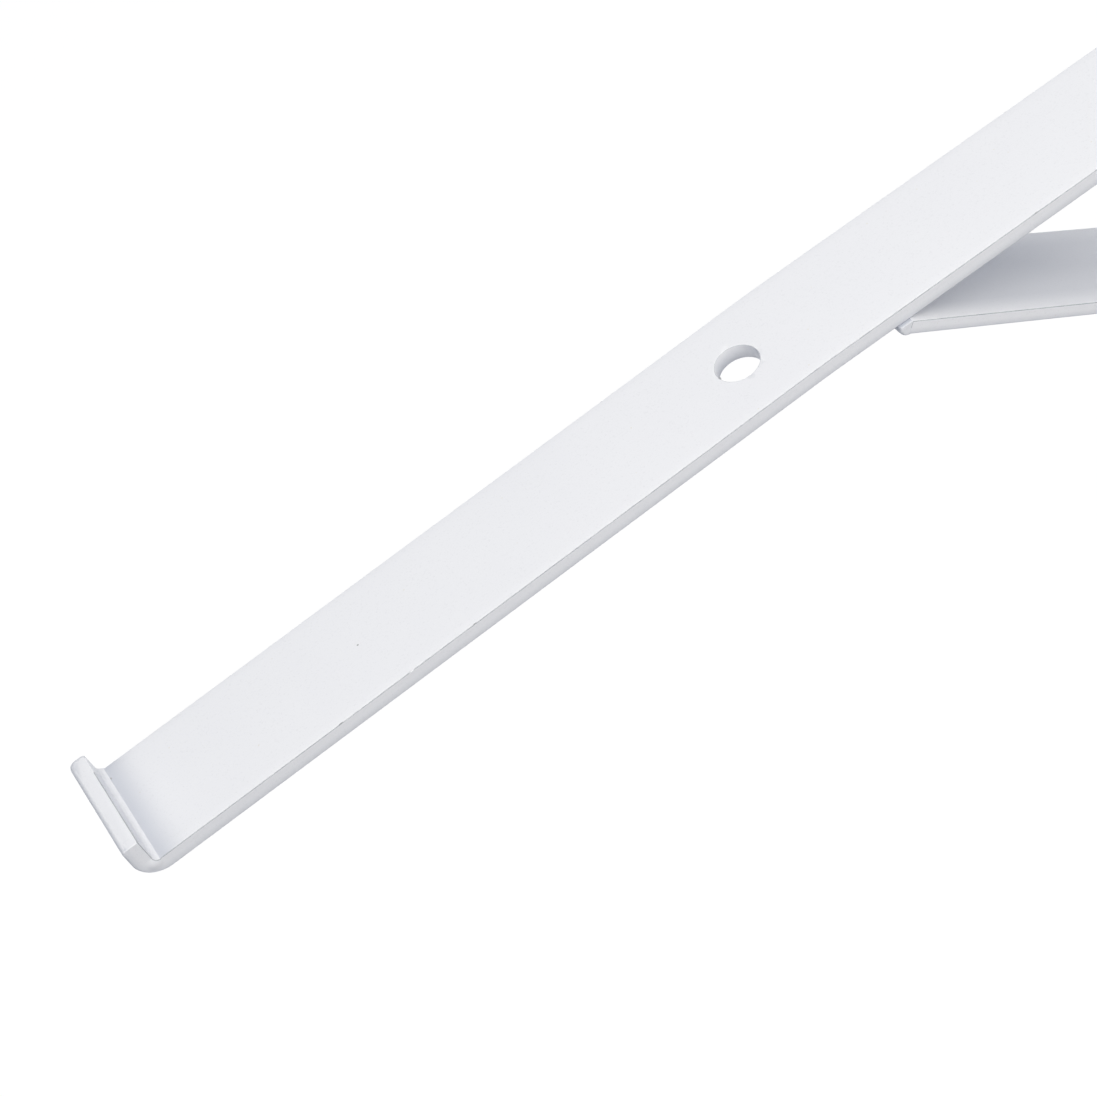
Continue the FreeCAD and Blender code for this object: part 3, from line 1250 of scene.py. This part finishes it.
@dataclass
class CoatBlemishes:
    """The few specks, nicks and the nib that the coat of the arm has."""

    bar: BentBar
    spots: tuple[Spot, ...] = (
        Spot(110.1, 0.07, (0.24, 0.2, 0.02)),
        Spot(-44.2, -3.24, (0.26, 0.22, 0.02)),
        Spot(-7.86, 12.25, (0.2, 0.16, 0.02)),
        Spot(-89.76, -8.0, (0.22, 0.2, 0.02)),
        Spot(166.7, -11.35, (0.22, 0.26, 0.05)),
        Spot(16.85, 0.55, (0.22, 0.35, 0.3)),
        Spot(122.34, 14.92, (0.5, 0.12, 0.05)),
        Spot(88.94, 14.92, (0.4, 0.12, 0.05)),
        Spot(-55.68, 14.92, (0.45, 0.12, 0.05)),
        Spot(104.86, 14.93, (0.75, 0.25, 0.12), dark=False),
    )

    def build(self, materials: list[bpy.types.Material]) -> bpy.types.Object:
        """Makes all the spots as one piece.

        Args:
            materials: the coat and the dust.

        Returns:
            The finished piece.
        """
        shape = bmesh.new()
        for spot in self.spots:
            out = self.bar.arm_out if spot.run > 0 else np.array([1.0, 0.0])
            up = left_of(out)
            side = self.bar.dip_corner + out * spot.run
            turn = Matrix(((out[0], 0, up[0]), (0, 1, 0), (out[1], 0, up[1]))).to_4x4()
            place = Matrix.Translation(Vector((side[0], spot.across, side[1])) * MM)
            size = Matrix.Diagonal((*(Vector(spot.reach) * MM), 1.0))
            made = bmesh.ops.create_icosphere(shape, subdivisions=2, radius=1.0,
                                              matrix=place @ turn @ size)
            for face in {f for v in made["verts"] for f in v.link_faces}:
                face.material_index = int(spot.dark)
                face.smooth = True
        mesh = bpy.data.meshes.new("coat_blemishes")
        shape.to_mesh(mesh)
        shape.free()
        for material in materials:
            mesh.materials.append(material)
        return put_in_scene(mesh.name, mesh)


@dataclass(frozen=True)
class Softbox:
    """A square soft light that faces the middle of the bracket.

    Args:
        name: of the light.
        way: from the bracket towards the light.
        watts: its power.
        colour: of its light.
        distance: from the bracket.
        side: of the square.
    """

    name: str
    way: tuple[float, float, float]
    watts: float
    colour: str
    distance: float = 1300.0
    side: float = 1200.0

    def build(self, middle: Vector) -> None:
        """Adds the light to the scene.

        Args:
            middle: the place in millimetres that it faces.
        """
        light = bpy.data.lights.new(self.name, "AREA")
        light.shape = "SQUARE"
        light.size = self.side * MM
        light.energy = self.watts
        light.color = linear(self.colour)[:3]
        lamp = put_in_scene(self.name, light)
        way = Vector(self.way).normalized()
        lamp.location = (middle + way * self.distance) * MM
        lamp.rotation_euler = (-way).to_track_quat("-Z", "Y").to_euler()


@dataclass
class Studio:
    """Floor, lights and camera."""

    floor_level: float = -106.0
    floor_side: float = 4000.0
    eye: tuple[float, float, float] = (316.56, 378.97, 496.28)
    azimuth: float = 169.6923
    elevation: float = 45.6579
    roll: float = -28.0141
    lens: float = 86.515
    sensor: float = 36.0
    seen_span: tuple[float, float] = (10.0, 10000.0)
    sky_colour: str = "#8FBCFF"
    sky_level: float = 0.15
    middle: tuple[float, float, float] = (220.0, 0.0, 90.0)
    softboxes: tuple[Softbox, ...] = (
        Softbox("overhead_softbox", (0.0, 0.0, 1.0), 7.8, "#FFFAF0"),
        Softbox("wall_side_softbox", (-0.75, 0.15, 0.65), 2.3, "#FFFAF0"),
        Softbox("front_softbox", (-0.2, 0.78, 0.7), 8.4, "#FFF9EE", 1000.0, 950.0),
        Softbox("tip_side_softbox", (0.75, 0.15, 0.65), 2.0, "#FFFAF0"),
        Softbox("back_softbox", (0.0, -0.75, 0.65), 0.6, "#FFFAF0"),
    )

    def build(self, floor_finish: bpy.types.Material) -> None:
        """Makes everything that isn't the bracket.

        Args:
            floor_finish: the floor's material.
        """
        self._floor(floor_finish)
        self._sky()
        for softbox in self.softboxes:
            softbox.build(Vector(self.middle))
        self._camera()

    def _floor(self, finish: bpy.types.Material) -> None:
        """A wide flat floor just under the foot of the leg.

        Args:
            finish: its material.
        """
        half = self.floor_side / 2
        verts = np.array([(x, y, self.floor_level) for x, y in
                          ((-half, -half), (half, -half), (half, half), (-half, half))])
        floor = mesh_object("studio_floor", verts, [[0, 1, 2, 3]], [Zone.COAT], [finish])

    def _sky(self) -> None:
        """An even pale room all round, which is white where it is seen directly."""
        world = bpy.data.worlds.new("pale_room")
        bpy.context.scene.world = world
        world.use_nodes = True
        tree = world.node_tree
        tree.nodes.clear()
        room = add_node(tree, "ShaderNodeBackground", inputs={
            "Color": linear(self.sky_colour), "Strength": self.sky_level})
        white = add_node(tree, "ShaderNodeBackground", inputs={"Color": linear("#FFFFFF")})
        mixed = add_node(tree, "ShaderNodeMixShader", inputs={
            0: seen_directly(tree), 1: room.outputs["Background"], 2: white.outputs["Background"]})
        add_node(tree, "ShaderNodeOutputWorld", inputs={"Surface": mixed.outputs["Shader"]})

    def _camera(self) -> None:
        """The camera at the place and angle that the straight edges of the bar give."""
        azimuth, elevation = math.radians(self.azimuth), math.radians(self.elevation)
        back = Vector((math.sin(azimuth) * math.cos(elevation),
                       -math.cos(azimuth) * math.cos(elevation), math.sin(elevation)))
        level = (-back).cross(Vector((0, 0, 1))).normalized()
        right = Matrix.Rotation(math.radians(self.roll), 3, back) @ level
        up = back.cross(right)
        turn = Matrix((right, up, back)).transposed()
        data = bpy.data.cameras.new("photo_camera")
        data.sensor_width = self.sensor
        data.lens = self.lens
        data.clip_start, data.clip_end = (reach * MM for reach in self.seen_span)
        camera = put_in_scene("photo_camera", data)
        camera.matrix_world = Matrix.Translation(Vector(self.eye) * MM) @ turn.to_4x4()
        bpy.context.scene.camera = camera


def main() -> None:
    """Builds the bracket and its studio."""
    logging.basicConfig(level=logging.INFO, format="%(name)s: %(message)s")
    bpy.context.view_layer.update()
    finishes = [PolyesterPowderCoat().build(), PaintedEdgeShade().build()]
    bar = BentBar()
    add_to_body(bar.build(finishes), "bracket_bar")
    brace = Brace()
    add_to_body(brace.build(finishes), "brace_bar")
    for bead in (
        WeldBead("arm_bead", "arm_weld", brace.head, np.array([1.0, 0.0]), -brace.out, brace),
        WeldBead("wall_bead", "wall_weld", brace.foot, np.array([0.0, -1.0]), brace.out, brace, seed=8.0),
    ):
        add_to_body(bead.build(finishes), bead.node)
    add_to_body(CoatBlemishes(bar).build([finishes[0], DustUnderPowderCoat().build()]))
    Studio().build(MattPaintedFloor().build())
    bpy.context.scene.view_settings.view_transform = "Standard"


if __name__ == "__main__":
    main()
